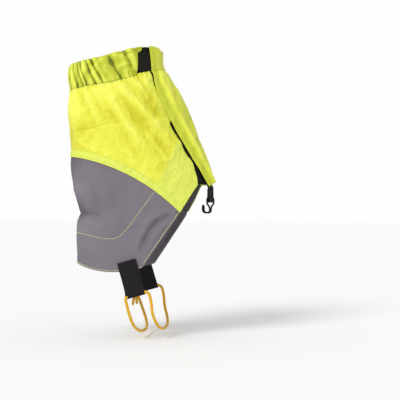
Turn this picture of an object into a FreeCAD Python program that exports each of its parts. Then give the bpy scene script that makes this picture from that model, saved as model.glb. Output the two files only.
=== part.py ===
# A short gaiter for the right leg, as worn: a gathered cuff, two shell panels with a front flap
# that closes with hook and loop tape, two ankle guards, a lace hook and an elastic stirrup.
# Millimetres. +X points to the toe, +Y to the inner side of the leg, +Z up.
# The origin is on the leg's axis at the ankle.
import FreeCAD, Part
import Sketcher
import math
import os

Vector = FreeCAD.Vector

# The body is lofted through ellipses, from above the cuff to below the heel.
# Each one has a centre (x, z), half its depth front to back, half its width, and a tilt in degrees.
LEVELS = {
    "rim": (-14.5, 187.0, 45.0, 43.5, 8.5),
    "cuff": (-14.0, 162.0, 47.0, 44.0, 8.5),
    "gather": (-13.0, 138.5, 49.0, 44.5, 11.5),
    "calf": (-5.5, 102.5, 60.5, 46.0, 18.5),
    "ankle": (2.0, 66.0, 68.5, 44.0, 23.0),
    "instep": (11.5, 29.0, 73.5, 42.0, 28.0),
    "vamp": (16.5, -8.0, 82.5, 43.0, 30.5),
    "heel": (23.5, -54.0, 89.0, 44.0, 29.5),
    "sole": (31.0, -100.0, 95.0, 44.0, 28.5),
}

# Corners of the pieces' outlines, seen from the side: (x, z).
CORNERS = {
    "cuff_top_back": (-90.0, 150.0),
    "cuff_top_side": (-22.0, 159.5),
    "cuff_top_front": (20.0, 171.0),
    "cuff_top_reach": (70.0, 172.0),
    "cuff_base_back": (-90.0, 125.0),
    "cuff_base_side": (-10.0, 134.0),
    "cuff_base_front": (24.5, 144.8),
    "cuff_base_reach": (70.0, 158.6),
    "slit_high": (28.0, 132.5),
    "slit_middle": (45.5, 94.0),
    "slit_foot": (73.0, 31.0),
    "seam_front": (56.5, 3.0),
    "seam_back": (-90.0, 60.8),
    "hem_front": (19.0, -52.5),
    "hem_heel": (-56.0, -48.5),
    "hem_back": (-90.0, -46.0),
    "front_reach": (130.0, 60.0),
    "front_lap": (98.0, 38.0),
    "front_foot": (80.0, 30.5),
    "facing_back": (-90.0, -14.0),
    "facing_heel": (-46.0, -19.0),
    "facing_side": (-8.5, -23.5),
    "facing_corner": (5.0, -11.0),
    "facing_knee": (31.0, 24.0),
    "facing_top": (49.0, 64.0),
    "facing_front": (59.5, 44.0),
    "facing_toe": (62.5, 17.0),
    "facing_hem": (18.0, -50.8),
    "facing_sole": (-56.0, -46.8),
    "facing_edge": (-90.0, -44.4),
    "tape_top": (16.0, 173.5),
    "tape_cuff": (16.0, 146.0),
    "tape_high": (22.0, 130.0),
    "tape_middle": (39.0, 93.0),
    "tape_foot": (66.0, 30.0),
    "tape_lap": (98.0, 34.0),
    "tape_top_reach": (70.0, 173.5),
    "patch_low": (13.2, 145.0),
    "patch_high": (13.2, 164.5),
    "patch_high_reach": (70.0, 164.5),
    "patch_low_reach": (70.0, 145.0),
    "flap_top": (24.0, 171.5),
    "flap_rise": (26.0, 147.0),
    "flap_high": (28.5, 132.5),
    "flap_middle": (45.8, 94.0),
    "flap_foot": (82.8, 28.8),
    "flap_lap": (98.0, 43.0),
    "flap_top_reach": (70.0, 171.5),
    "loop_top": (27.5, 168.5),
    "loop_rise": (29.2, 147.0),
    "loop_high": (32.0, 133.0),
    "loop_middle": (49.5, 95.0),
    "loop_foot": (83.5, 33.0),
    "loop_lap": (98.0, 46.5),
    "loop_top_reach": (70.0, 168.5),
}

SIZES = {
    # layers, as offsets from the lofted body: cloth, tapes and their air gaps
    "cloth_skin": 0.0,
    "cloth_back": -1.0,
    "facing_inside": -1.5,
    "patch_back": -1.1,
    "hook_skin": -1.2,
    "hook_back": -2.4,
    "tunnel_skin": -1.0,
    "tunnel_back": -2.4,
    "cuff_inside": -3.4,
    "elastic_skin": -1.1,
    "elastic_back": -2.3,
    "loop_inside": 0.3,
    "flap_inside": 1.3,
    "flap_skin": 2.1,
    "tab_inside": 0.7,
    "tab_skin": 2.1,
    # outlines and cuts
    "reach": 70.0,
    "seam_radius": 191.0,
    "slit_radius": 134.0,
    "hem_radius": 113.5,
    "flap_seam": 3.0,
    "seam_gap": 0.45,
    "clearing_length": 130.0,
    "clearing_height": 230.0,
    "clearing_x": 10.0,
    "clearing_back": 5.0,
    "clearing_z": -8.0,
    "tape_edge": -8.0,
    "loop_edge": -5.0,
    "cuff_end": 12.9,
    "elastic_end": 9.0,
    "tunnel_margin": 2.0,
    "elastic_margin": 2.5,
    # stirrup
    "tab_width": 19.2,
    "tab_length": 34.0,
    "tab_lean": 16.0,
    "tab_top_x": 3.2,
    "tab_top_z": -45.5,
    "tunnel_y": 46.2,
    "tunnel_radius": 3.1,
    "tunnel_bore": 1.75,
    "cord_radius": 1.5,
    "knot_radius": 4.6,
    "knot_x": -1.8,
    "knot_y": 46.4,
    "knot_z": -83.6,
    # lace tab and hook
    "lace_x": 84.5,
    "lace_y": -13.0,
    "lace_z": 27.0,
    "lace_turn": 25.0,
    "lace_width": 10.0,
    "lace_thickness": 1.2,
    "lace_drop": 12.0,
    "lace_loop_radius": 2.4,
    "lace_loop_bore": 1.2,
    "wire_radius": 0.9,
    "hook_half_width": 6.6,
    "hook_neck": 1.3,
    "hook_shoulder": 3.2,
    "hook_throat_top": 7.0,
    "hook_drop": 12.4,
    "hook_gape": 8.4,
    "hook_tip": 5.2,
}

# The elastic cord's route, from the knot through both tunnels and twice under the foot.
CORD_ROUTE = [
    (-0.6, 46.3, -81.9),
    (12.4, 46.1, -78.2),
    (25.6, 46.2, -74.6),
    (28.6, 46.2, -85.6),
    (29.4, 45.4, -98.0),
    (33.6, 39.8, -110.0),
    (36.0, 22.0, -115.4),
    (36.6, 0.0, -116.2),
    (36.0, -22.0, -115.4),
    (33.6, -39.8, -110.0),
    (29.4, -45.4, -98.0),
    (28.6, -46.2, -85.6),
    (25.6, -46.2, -74.6),
    (12.8, -46.1, -78.3),
    (1.8, -46.2, -81.3),
    (3.8, -46.2, -88.6),
    (6.2, -45.9, -98.4),
    (9.8, -41.6, -110.6),
    (14.0, -25.0, -117.8),
    (15.6, 0.0, -118.8),
    (14.0, 25.0, -117.8),
    (9.8, 41.6, -110.6),
    (4.8, 45.9, -98.4),
    (0.8, 46.4, -87.6),
]

document = FreeCAD.newDocument("gaiter")
sheet = document.addObject("Spreadsheet::Sheet", "Sizes")
values = {}


def fillSheet():
    """Writes every driving dimension to the sheet, one row each, with its alias."""
    for name, numbers in LEVELS.items():
        for word, number in zip(("x", "z", "depth", "width", "tilt"), numbers):
            values[f"{name}_{word}"] = number
    for name, (x, z) in CORNERS.items():
        values[f"{name}_x"] = x
        values[f"{name}_z"] = z
    values.update(SIZES)
    for row, (alias, number) in enumerate(values.items(), start=1):
        sheet.set(f"A{row}", alias)
        sheet.set(f"B{row}", str(number))
        sheet.setAlias(f"B{row}", alias)
    document.recompute()


def bind(thing, **expressions):
    """Binds properties to the sheet. A double underscore in a name stands for a dot."""
    for name, expression in expressions.items():
        thing.setExpression(name.replace("__", "."), expression)


def add(kind, label, **properties):
    thing = document.addObject(kind, label)
    thing.Label = label
    for name, value in properties.items():
        setattr(thing, name, value)
    return thing


def loft(offset):
    """The body's surface as a solid, grown by an offset from the sheet."""
    label = f"body_{offset}"
    found = document.getObject(label)
    if found:
        return found
    rings = []
    for level in LEVELS:
        ring = add("Part::Ellipse", f"{level}_{offset}")
        bind(ring, MajorRadius=f"Sizes.{level}_depth + Sizes.{offset}")
        bind(ring, MinorRadius=f"Sizes.{level}_width + Sizes.{offset}")
        tilt = FreeCAD.Rotation(Vector(0, -1, 0), values[f"{level}_tilt"])
        ring.Placement = FreeCAD.Placement(Vector(), tilt)
        bind(ring, Placement__Base__x=f"Sizes.{level}_x")
        bind(ring, Placement__Base__z=f"Sizes.{level}_z")
        bind(ring, Placement__Rotation__Angle=f"Sizes.{level}_tilt")
        rings.append(ring)
    return add("Part::Loft", label, Sections=rings, Solid=True, Ruled=False)


def layer(skin, inside):
    """The tube between two offsets of the body."""
    label = f"layer_{skin}_{inside}"
    found = document.getObject(label)
    return found or add("Part::Cut", label, Base=loft(skin), Tool=loft(inside))


def arcBetween(start, end, radius, left):
    """The arc from start to end whose centre is on the left or right of the way."""
    middle = (start + end) * 0.5
    along = end - start
    side = Vector(-along.y, along.x, 0).normalize() * (1 if left else -1)
    centre = middle + side * math.sqrt(radius**2 - (along.Length / 2) ** 2)
    angles = [math.atan2(p.y - centre.y, p.x - centre.x) for p in (start, end)]
    if not left:
        angles.reverse()
    return Part.ArcOfCircle(Part.Circle(centre, Vector(0, 0, 1), radius), *angles)


def outline(label, steps, start_y):
    """A sketch seen from the side. A step is a corner, or (corner, radius name, centre on the left)."""
    names = [step if isinstance(step, str) else step[0] for step in steps]
    points = [Vector(values[f"{n}_x"], values[f"{n}_z"], 0) for n in names]
    sketch = add("Sketcher::SketchObject", label)
    sketch.Placement = FreeCAD.Placement(Vector(), FreeCAD.Rotation(Vector(1, 0, 0), 90))
    bind(sketch, Placement__Base__y=start_y)
    joints = []
    for i, step in enumerate(steps):
        before, here = points[i - 1], points[i]
        if isinstance(step, str):
            edge = Part.LineSegment(before, here)
        else:
            edge = arcBetween(before, here, values[step[1]], step[2])
        geo = sketch.addGeometry(edge, False)
        flipped = (sketch.getPoint(geo, 1) - before).Length > 1e-6
        joints.append((geo, 2 if flipped else 1, 1 if flipped else 2))
        if not isinstance(step, str):
            k = sketch.addConstraint(Sketcher.Constraint("Radius", geo, values[step[1]]))
            sketch.setExpression(f"Constraints[{k}]", f"Sizes.{step[1]}")
    for i, name in enumerate(names):
        geo, _, end = joints[i]
        following, begin, _ = joints[(i + 1) % len(joints)]
        sketch.addConstraint(Sketcher.Constraint("Coincident", geo, end, following, begin))
        for kind, word, value in (("DistanceX", "x", points[i].x), ("DistanceY", "z", points[i].y)):
            k = sketch.addConstraint(Sketcher.Constraint(kind, -1, 1, geo, end, value))
            sketch.setExpression(f"Constraints[{k}]", f"Sizes.{name}_{word}")
    return sketch


def prism(label, steps, side, start_y="0"):
    """The outline carried sideways: side -1 is the outer (near) half, 1 the inner half."""
    sketch = outline(f"{label}_outline", steps, start_y)
    solid = add("Part::Extrusion", f"{label}_prism", Base=sketch, DirMode="Custom")
    solid.Dir = Vector(0, side, 0)
    solid.Solid = True
    bind(solid, LengthFwd="Sizes.reach")
    return solid


def cutPiece(label, skin, inside, steps, side, start_y="0"):
    """A piece of one layer, cut to an outline."""
    return add("Part::Common", label, Base=layer(skin, inside), Tool=prism(label, steps, side, start_y))


SHELL_TOP = ["cuff_base_back", "seam_back", ("seam_front", "seam_radius", False)]
HEM = ["hem_front", ("hem_heel", "hem_radius", False), "hem_back"]


def shellPanels():
    outer = SHELL_TOP + ["slit_foot", ("slit_middle", "slit_radius", True), "slit_high"]
    outer += ["cuff_base_front", "cuff_base_side"]
    inner = SHELL_TOP + ["front_foot", "front_lap", "front_reach", "cuff_base_reach", "cuff_base_side"]
    near = cutPiece("shell_panel_outer", "cloth_skin", "cloth_back", outer, -1)
    whole = cutPiece("shell_inner_blank", "cloth_skin", "cloth_back", inner, 1)
    far = add("Part::Cut", "shell_panel_inner", Base=whole, Tool=seamCutter())
    return [near, far]


def seamCutter():
    """A block that clears the front edge of the inner shell panel beside the flap's seam."""
    block = add("Part::Box", "seam_cutter")
    bind(block, Length="Sizes.clearing_length", Height="Sizes.clearing_height")
    bind(block, Width="Sizes.clearing_back + Sizes.flap_seam + Sizes.seam_gap")
    bind(block, Placement__Base__x="Sizes.clearing_x", Placement__Base__z="Sizes.clearing_z")
    bind(block, Placement__Base__y="-Sizes.clearing_back")
    return block


def anklePanels():
    steps = ["seam_back", ("seam_front", "seam_radius", False)] + HEM
    return [
        cutPiece("ankle_guard_outer", "cloth_skin", "cloth_back", steps, -1),
        cutPiece("ankle_guard_inner", "cloth_skin", "cloth_back", steps, 1),
    ]


def hemFacings():
    steps = ["facing_back", "facing_heel", "facing_side", "facing_corner", "facing_knee", "facing_top"]
    steps += ["facing_front", "facing_toe", "facing_hem"]
    steps += [("facing_sole", "hem_radius", False), "facing_edge"]
    return [
        cutPiece("hem_facing_outer", "cloth_back", "facing_inside", steps, -1),
        cutPiece("hem_facing_inner", "cloth_back", "facing_inside", steps, 1),
    ]


def cuffSlab(label, margin):
    """A full-width slab between the cuff's edges, drawn in by a margin."""
    steps = ["cuff_top_back", "cuff_base_back", "cuff_base_side", "cuff_base_reach"]
    steps += ["cuff_top_reach", "cuff_top_front", "cuff_top_side"]
    slab = prism(label, steps, 1, "-Sizes.reach")
    bind(slab, LengthFwd="2 * Sizes.reach")
    if margin is None:
        return slab
    inner = add("Part::Common", f"{label}_inset", Base=slab, Tool=shiftedSlab(label, steps, margin))
    return inner


def shiftedSlab(label, steps, margin):
    """The slab's overlap with itself moved up and down, which trims both of its edges."""
    halves = []
    for word, sign in (("up", "1"), ("down", "-1")):
        moved = prism(f"{label}_{word}", steps, 1, "-Sizes.reach")
        bind(moved, LengthFwd="2 * Sizes.reach", Placement__Base__z=f"{sign} * Sizes.{margin}")
        halves.append(moved)
    return add("Part::Common", f"{label}_trim", Base=halves[0], Tool=halves[1])


def frontGap(label, end):
    """The block that opens the cuff in front, from the outer side to the flap's seam."""
    block = add("Part::Box", f"{label}_gap")
    bind(block, Length="Sizes.clearing_length", Height="Sizes.clearing_height")
    bind(block, Width="Sizes.reach + Sizes.flap_seam + Sizes.seam_gap")
    bind(block, Placement__Base__x=f"Sizes.{end}", Placement__Base__y="-Sizes.reach")
    bind(block, Placement__Base__z="Sizes.clearing_z")
    return block


def ring(label, skin, inside, margin, end):
    """A C-shaped band of the cuff, open in front."""
    band = add("Part::Common", f"{label}_band", Base=layer(skin, inside), Tool=cuffSlab(label, margin))
    return add("Part::Cut", f"{label}_ring", Base=band, Tool=frontGap(label, end))


def cuff():
    outside = ring("casing", "cloth_skin", "cuff_inside", None, "cuff_end")
    tunnel = ring("tunnel", "tunnel_skin", "tunnel_back", "tunnel_margin", "cuff_end")
    casing = add("Part::Cut", "cuff_casing", Base=outside, Tool=tunnel)
    elastic = ring("band", "elastic_skin", "elastic_back", "elastic_margin", "elastic_end")
    elastic.Label = "cuff_elastic"
    return [casing, elastic]


def closure():
    """Hook tape and patch on the outer panel, and the flap with its loop tape."""
    tape = ["tape_top", "tape_cuff", "tape_high", "tape_middle"]
    tape += [("tape_foot", "slit_radius", False), "tape_lap", "front_reach", "tape_top_reach"]
    patch = ["patch_high", "patch_low", "patch_low_reach", "patch_high_reach"]
    flap = ["flap_top", "flap_rise", "flap_high", "flap_middle", "flap_foot", "flap_lap"]
    flap += ["front_reach", "flap_top_reach"]
    loop = ["loop_top", "loop_rise", "loop_high", "loop_middle", "loop_foot", "loop_lap"]
    loop += ["front_reach", "loop_top_reach"]
    return [
        cutPiece("hook_tape", "hook_skin", "hook_back", tape, -1, "Sizes.tape_edge"),
        cutPiece("hook_patch", "cloth_skin", "patch_back", patch, -1, "Sizes.tape_edge"),
        cutPiece("front_flap", "flap_skin", "flap_inside", flap, -1, "Sizes.flap_seam"),
        cutPiece("loop_tape", "flap_inside", "loop_inside", loop, -1, "Sizes.loop_edge"),
    ]


def stirrupTab(label, side):
    """Webbing that lies over the hem and is folded round the cord at its lower end."""
    lean = FreeCAD.Rotation(Vector(0, 1, 0), -values["tab_lean"])
    down = lean.multVec(Vector(0, 0, -1))
    across = lean.multVec(Vector(1, 0, 0))
    top = Vector(values["tab_top_x"], 0, values["tab_top_z"])
    half = values["tab_width"] / 2
    foot = top + down * values["tab_length"]
    strip = add("Part::Box", f"{label}_strip")
    bind(strip, Length="Sizes.tab_width", Width="Sizes.reach", Height="Sizes.tab_length")
    corner = foot - across * half + Vector(0, -values["reach"] if side < 0 else 0, 0)
    strip.Placement = FreeCAD.Placement(corner, lean)
    web = add("Part::Common", f"{label}_web", Base=layer("tab_skin", "tab_inside"), Tool=strip)
    turn = lean.multiply(FreeCAD.Rotation(Vector(0, 1, 0), 90))
    mouth = foot - across * half + Vector(0, side * values["tunnel_y"], 0)
    fold = add("Part::Cylinder", f"{label}_fold")
    bind(fold, Radius="Sizes.tunnel_radius", Height="Sizes.tab_width")
    fold.Placement = FreeCAD.Placement(mouth, turn)
    bore = add("Part::Cylinder", f"{label}_bore")
    bind(bore, Radius="Sizes.tunnel_bore", Height="3 * Sizes.tab_width")
    bore.Placement = FreeCAD.Placement(mouth - across * values["tab_width"], turn)
    joined = add("Part::Fuse", f"{label}_joined", Base=web, Tool=fold)
    return add("Part::Cut", label, Base=joined, Tool=bore)


def roundedPath(points):
    """Straight runs joined by tangent arcs, and the list of the arcs' radii."""
    edges, radii = [], []
    begin = points[0]
    for before, here, after in zip(points, points[1:], points[2:]):
        back, on = (before - here), (after - here)
        shorter = min(back.Length, on.Length)
        half_turn = (math.pi - back.getAngle(on)) / 2
        cut = 0.45 * shorter
        radius = cut / math.tan(half_turn)
        first, last = here + back.normalize() * cut, here + on.normalize() * cut
        inward = (back + on).normalize()
        middle = here + inward * (radius / math.cos(half_turn) - radius)
        edges.append(Part.LineSegment(begin, first).toShape())
        edges.append(Part.Arc(first, middle, last).toShape())
        radii.append(radius)
        begin = last
    edges.append(Part.LineSegment(begin, points[-1]).toShape())
    return Part.Wire(edges), radii


def sweepRound(label, points, radius):
    """A round bar or cord along a path, checked against its section times its length."""
    wire, radii = roundedPath(points)
    start = points[0]
    profile = Part.Wire(Part.Circle(start, points[1] - start, radius).toShape())
    solid = wire.makePipeShell([profile], True, False)
    expected = math.pi * radius**2 * wire.Length
    print(label, "length", round(wire.Length, 1), "volume ratio", round(solid.Volume / expected, 4))
    print(label, "radii", [round(r, 1) for r in radii])
    piece = add("Part::Feature", label)
    piece.Shape = solid
    return piece


def cord():
    piece = sweepRound("stirrup_cord", [Vector(*p) for p in CORD_ROUTE], values["cord_radius"])
    knot = add("Part::Sphere", "cord_knot")
    bind(knot, Radius="Sizes.knot_radius")
    bind(knot, Placement__Base__x="Sizes.knot_x", Placement__Base__y="Sizes.knot_y")
    bind(knot, Placement__Base__z="Sizes.knot_z")
    return [piece, knot]


def lacePlacement():
    """At the lace tab's hinge: local X across the tab, local Y outwards, local Z up."""
    place = Vector(values["lace_x"], values["lace_y"], values["lace_z"])
    turn = FreeCAD.Rotation(Vector(0, 0, 1), -90 - values["lace_turn"])
    return FreeCAD.Placement(place, turn)


def laceTab():
    """Narrow webbing with a loop at its lower end, which holds the hook."""
    place = lacePlacement()
    strap = add("Part::Box", "lace_strap")
    bind(strap, Length="Sizes.lace_width", Width="Sizes.lace_thickness", Height="Sizes.lace_drop")
    half, thin = values["lace_width"] / 2, values["lace_thickness"] / 2
    corner = Vector(-half, -thin, -values["lace_drop"])
    strap.Placement = place * FreeCAD.Placement(corner, FreeCAD.Rotation())
    sideways = FreeCAD.Rotation(Vector(0, 1, 0), 90)
    fold = add("Part::Cylinder", "lace_fold")
    bind(fold, Radius="Sizes.lace_loop_radius", Height="Sizes.lace_width")
    fold.Placement = place * FreeCAD.Placement(Vector(-half, 0, -values["lace_drop"]), sideways)
    bore = add("Part::Cylinder", "lace_bore")
    bind(bore, Radius="Sizes.lace_loop_bore", Height="2 * Sizes.lace_width")
    bore.Placement = place * FreeCAD.Placement(Vector(-2 * half, 0, -values["lace_drop"]), sideways)
    joined = add("Part::Fuse", "lace_joined", Base=strap, Tool=fold)
    return add("Part::Cut", "lace_tab", Base=joined, Tool=bore)


def laceHook():
    """Bent wire: its ends butt inside the webbing loop, and its nose turns back towards the boot."""
    wide, neck = values["hook_half_width"], values["hook_neck"]
    shoulder, throat = values["hook_shoulder"], values["hook_throat_top"]
    drop, gape, tip = values["hook_drop"], values["hook_gape"], values["hook_tip"]
    half = [(wide, 0, 0), (wide, 0, -shoulder), (neck, 0, -throat), (neck, 0, -drop)]
    half += [(neck, -gape, -drop), (neck, -gape, -tip)]
    butt = 0.1
    mirrored = [(-x, y, z) for x, y, z in reversed(half)]
    local = [(butt, 0, 0)] + half + mirrored + [(-butt, 0, 0)]
    place = lacePlacement() * FreeCAD.Placement(Vector(0, 0, -values["lace_drop"]), FreeCAD.Rotation())
    return sweepRound("lace_hook", [place.multVec(Vector(*p)) for p in local], values["wire_radius"])


def build():
    fillSheet()
    nodes = shellPanels() + anklePanels() + hemFacings() + cuff() + closure()
    nodes += [stirrupTab("stirrup_tab_outer", -1), stirrupTab("stirrup_tab_inner", 1)]
    nodes += cord() + [laceTab(), laceHook()]
    document.recompute()
    return nodes


def export(nodes):
    for thing in document.Objects:
        if "Invalid" in thing.State or "Error" in thing.State:
            raise RuntimeError(f"{thing.Label} failed: {thing.State}")
    os.makedirs("parts", exist_ok=True)
    for node in nodes:
        if node.Shape.isNull() or not node.Shape.isValid() or not node.Shape.Solids:
            raise RuntimeError(f"{node.Label} has no valid solid")
        node.Shape.exportStep(f"parts/{node.Label}.step")
        box = node.Shape.optimalBoundingBox()
        low = [round(v, 1) for v in (box.XMin, box.YMin, box.ZMin)]
        high = [round(v, 1) for v in (box.XMax, box.YMax, box.ZMax)]
        print(f"{node.Label}: {len(node.Shape.Solids)} solid, {round(node.Shape.Volume)} mm3, {low} {high}")


export(build())
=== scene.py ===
import bpy
import math
import numpy as np
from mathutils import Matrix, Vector


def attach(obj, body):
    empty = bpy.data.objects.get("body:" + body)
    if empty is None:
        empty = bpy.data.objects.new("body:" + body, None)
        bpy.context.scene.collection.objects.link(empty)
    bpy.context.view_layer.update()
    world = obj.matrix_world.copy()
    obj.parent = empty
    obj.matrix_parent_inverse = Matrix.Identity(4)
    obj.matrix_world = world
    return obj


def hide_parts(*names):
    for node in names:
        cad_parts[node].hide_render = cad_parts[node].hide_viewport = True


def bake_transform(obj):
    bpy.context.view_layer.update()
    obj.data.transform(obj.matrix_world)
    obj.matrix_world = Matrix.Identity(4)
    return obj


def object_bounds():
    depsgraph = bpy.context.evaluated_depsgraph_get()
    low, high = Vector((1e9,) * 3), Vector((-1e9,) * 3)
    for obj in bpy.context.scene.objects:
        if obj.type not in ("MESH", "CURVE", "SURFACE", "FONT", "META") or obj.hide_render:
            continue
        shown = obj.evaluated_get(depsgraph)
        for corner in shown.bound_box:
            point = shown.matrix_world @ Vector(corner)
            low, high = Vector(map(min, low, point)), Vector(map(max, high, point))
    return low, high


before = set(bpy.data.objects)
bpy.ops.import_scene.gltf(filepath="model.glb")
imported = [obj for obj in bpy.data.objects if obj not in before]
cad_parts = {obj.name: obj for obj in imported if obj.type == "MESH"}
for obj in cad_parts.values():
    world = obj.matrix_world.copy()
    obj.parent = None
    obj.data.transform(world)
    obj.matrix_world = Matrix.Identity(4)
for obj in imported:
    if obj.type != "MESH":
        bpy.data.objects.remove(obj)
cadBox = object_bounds()
mm = 0.001
print("frame loaded")


# form of the gaiter, in mm

# rings of the body from above the cuff to the sole:
# centre x, centre z, half depth, half width, and tilt in degrees
bodyRings = np.array([
    (-14.5, 187.0, 45.0, 43.5, 8.5),
    (-14.0, 162.0, 47.0, 44.0, 8.5),
    (-13.0, 138.5, 49.0, 44.5, 11.5),
    (-5.5, 102.5, 60.5, 46.0, 18.5),
    (2.0, 66.0, 68.5, 44.0, 23.0),
    (11.5, 29.0, 73.5, 42.0, 28.0),
    (16.5, -8.0, 82.5, 43.0, 30.5),
    (23.5, -54.0, 89.0, 44.0, 29.5),
    (31.0, -100.0, 95.0, 44.0, 28.5),
])

# edges seen from the side: corners as (x, z), and circles as (centre x, centre z, radius)
outlines = {
    "cuffTop": ((-90, 150), (-22, 159.5), (20, 171), (27.5, 171.2), (30.5, 169.9), (32, 168), (70, 168)),
    "cuffBase": ((-90, 125), (-10, 134), (24.5, 144.8), (70, 158.6)),
    "seamCircle": (-81.1, -129.9, 191.0),
    "hemCircle": (-12.8, 56.5, 113.5),
    "diagonal": ((19, -52.5), (56.5, 3), (73, 31), (80, 30.5), (98, 38)),
    "slitCircle": (-59.4, 10.7, 134.0),
    "slitTop": ((45.5, 94), (28, 132.5), (24.5, 144.8)),
    "facingTop": ((-90, -14), (-46, -19), (-22, -23.4), (-10, -23.3), (-3, -19.5), (5, -11),
                  (31, 24), (48, 62)),
    "flapEdge": ((82.8, 28.8), (45.8, 94), (28.3, 132.5), (25.2, 147), (22.8, 171.5)),
    "flapFoot": ((60, 8), (82.8, 28.8), (98, 43)),
    "crease": ((-60, 85), (-30, 88), (-17, 91.5), (20, 95), (45, 100), (80, 70)),
}
slit = {"gape": 2.7, "turn": 94, "under": 3.0}  # how far it opens, where it turns, how far the edge hides


def ringBendsOf(rings):
    count = len(rings)
    left, right = np.eye(count), np.zeros_like(rings)
    for i in range(1, count - 1):
        left[i, i - 1:i + 2] = (1, 4, 1)
        right[i] = 6 * (rings[i + 1] - 2 * rings[i] + rings[i - 1])
    return np.linalg.solve(left, right)


ringBends = ringBendsOf(bodyRings)


def ringAt(down):  # a smooth ring between the listed ones
    down = np.clip(np.asarray(down, float), 0, len(bodyRings) - 1.0001)
    i = np.floor(down).astype(int)
    t = (down - i)[..., None]
    flat = (1 - t) * bodyRings[i] + t * bodyRings[i + 1]
    return flat + ((1 - t) ** 3 - (1 - t)) * ringBends[i] / 6 + (t ** 3 - t) * ringBends[i + 1] / 6


def bodyPoint(around, down):  # around is 0 in front, 90 degrees on the outer side, 180 behind
    x, z, depth, width, tilt = np.moveaxis(ringAt(down), -1, 0)
    forward, tilt = depth * np.cos(around), np.radians(tilt)
    return np.stack([x + forward * np.cos(tilt), -width * np.sin(around), z + forward * np.sin(tilt)], -1)


def bodyNormal(around, down):
    step = 1e-3
    across = bodyPoint(around + step, down) - bodyPoint(around - step, down)
    along = bodyPoint(around, down + step) - bodyPoint(around, down - step)
    normal = np.cross(across, along)
    return normal / np.linalg.norm(normal, axis=-1, keepdims=True)


def onBody(around, down, lift):
    around, down = np.broadcast_arrays(np.asarray(around, float), np.asarray(down, float))
    return bodyPoint(around, down) + bodyNormal(around, down) * np.asarray(lift)[..., None]


def sideOf(around, down):  # x and z of a place, as seen from the side
    point = bodyPoint(around, down)
    return point[..., 0], point[..., 2]


def fromSide(x, z, side):  # around and down of the point seen at x, z on one side
    around = np.full(np.shape(x), math.radians(95.0) * side)
    down = np.full(np.shape(x), 6.5)
    step = 1e-4
    for _ in range(20):
        here = bodyPoint(around, down)[..., ::2]
        turn = (bodyPoint(around + step, down)[..., ::2] - here) / step
        drop = (bodyPoint(around, down + step)[..., ::2] - here) / step
        miss = np.stack([x, z], -1) - here
        area = turn[..., 0] * drop[..., 1] - turn[..., 1] * drop[..., 0]
        turnBy = (miss[..., 0] * drop[..., 1] - miss[..., 1] * drop[..., 0]) / area
        dropBy = (turn[..., 0] * miss[..., 1] - turn[..., 1] * miss[..., 0]) / area
        around = around + np.clip(turnBy, -0.3, 0.3)
        down = down + np.clip(dropBy, -0.5, 0.5)
    return around, down


def alongX(name):
    points = np.array(outlines[name], float)
    return lambda x: np.interp(x, points[:, 0], points[:, 1])


def alongZ(name):
    points = np.array(outlines[name], float)
    order = np.argsort(points[:, 1])
    return lambda z: np.interp(z, points[order, 1], points[order, 0])


def circleHeight(name, sign):
    x0, z0, radius = outlines[name]
    return lambda x: z0 + sign * np.sqrt(np.maximum(radius ** 2 - (x - x0) ** 2, 1))


seamHeight = circleHeight("seamCircle", 1)
cuffTopHeight, cuffBaseHeight = alongX("cuffTop"), alongX("cuffBase")
facingHeight = alongX("facingTop")


def lowHeight(x):  # hem, then the front diagonal
    return np.where(x < outlines["diagonal"][0][0], circleHeight("hemCircle", -1)(x), alongX("diagonal")(x))


def slitX(z):
    x0, z0, radius = outlines["slitCircle"]
    low = x0 + np.sqrt(np.maximum(radius ** 2 - (z - z0) ** 2, 1))
    low = low - slit["gape"] * smooth(97, 87, z) * smooth(50, 66, z)
    return np.where(z < slit["turn"], low, alongZ("slitTop")(z))


def slitReach(z):  # the panel's cut edge runs on under the flap between its ends
    return slitX(z) + slit["under"] * smooth(93, 99, z) * smooth(131, 126, z)


halfTurn = np.radians(np.linspace(0, 180, 361))


def downEdge(height):  # how far down the body passes under an edge, at each angle
    downs = np.linspace(0, 8, 801)
    points = bodyPoint(halfTurn[:, None], downs[None, :])
    over = points[..., 2] - height(points[..., 0])
    first = np.maximum(np.argmax(over < 0, axis=1), 1)
    rows = np.arange(len(halfTurn))
    before, after = over[rows, first - 1], over[rows, first]
    found = downs[first - 1] + downs[1] * before / (before - after)
    return lambda around: np.interp(np.abs((around + np.pi) % (2 * np.pi) - np.pi), halfTurn, found)


def aroundEdge(frontX):  # the angle where the body passes behind an edge, at each height
    downs = np.linspace(0, 8, 401)
    points = bodyPoint(halfTurn[None, :], downs[:, None])
    ahead = points[..., 0] - frontX(points[..., 2])
    first = np.maximum(np.argmax(ahead < 0, axis=1), 1)
    rows = np.arange(len(downs))
    before, after = ahead[rows, first - 1], ahead[rows, first]
    found = halfTurn[first - 1] + halfTurn[1] * before / (before - after)
    return lambda down: np.interp(down, downs, found)


def aroundAtY(y):  # the angle where the body is y to the inner side of the middle
    return lambda down: -np.arcsin(y / ringAt(down)[..., 3])


def level(value):  # an edge that stays at one value
    return lambda place: np.full(np.shape(place), value)


def edgeGap(height, x, z):  # distance above an edge
    slope = (height(x + 0.5) - height(x - 0.5))
    return (z - height(x)) / np.sqrt(1 + slope ** 2)


def smooth(low, high, value):
    t = np.clip((value - low) / (high - low), 0, 1)
    return t * t * (3 - 2 * t)


def waves(points, size, seed, count=16):  # soft seeded noise, about -1 to 1
    rng = np.random.default_rng(seed)
    total = 0
    for _ in range(count):
        way = rng.normal(size=3)
        way = way / np.linalg.norm(way)
        pitch = size * rng.uniform(0.7, 1.6)
        total = total + np.sin(points @ way * 2 * np.pi / pitch + rng.uniform(0, 6.283))
    return total / math.sqrt(count)


# relief of the cloth, in mm

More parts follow.
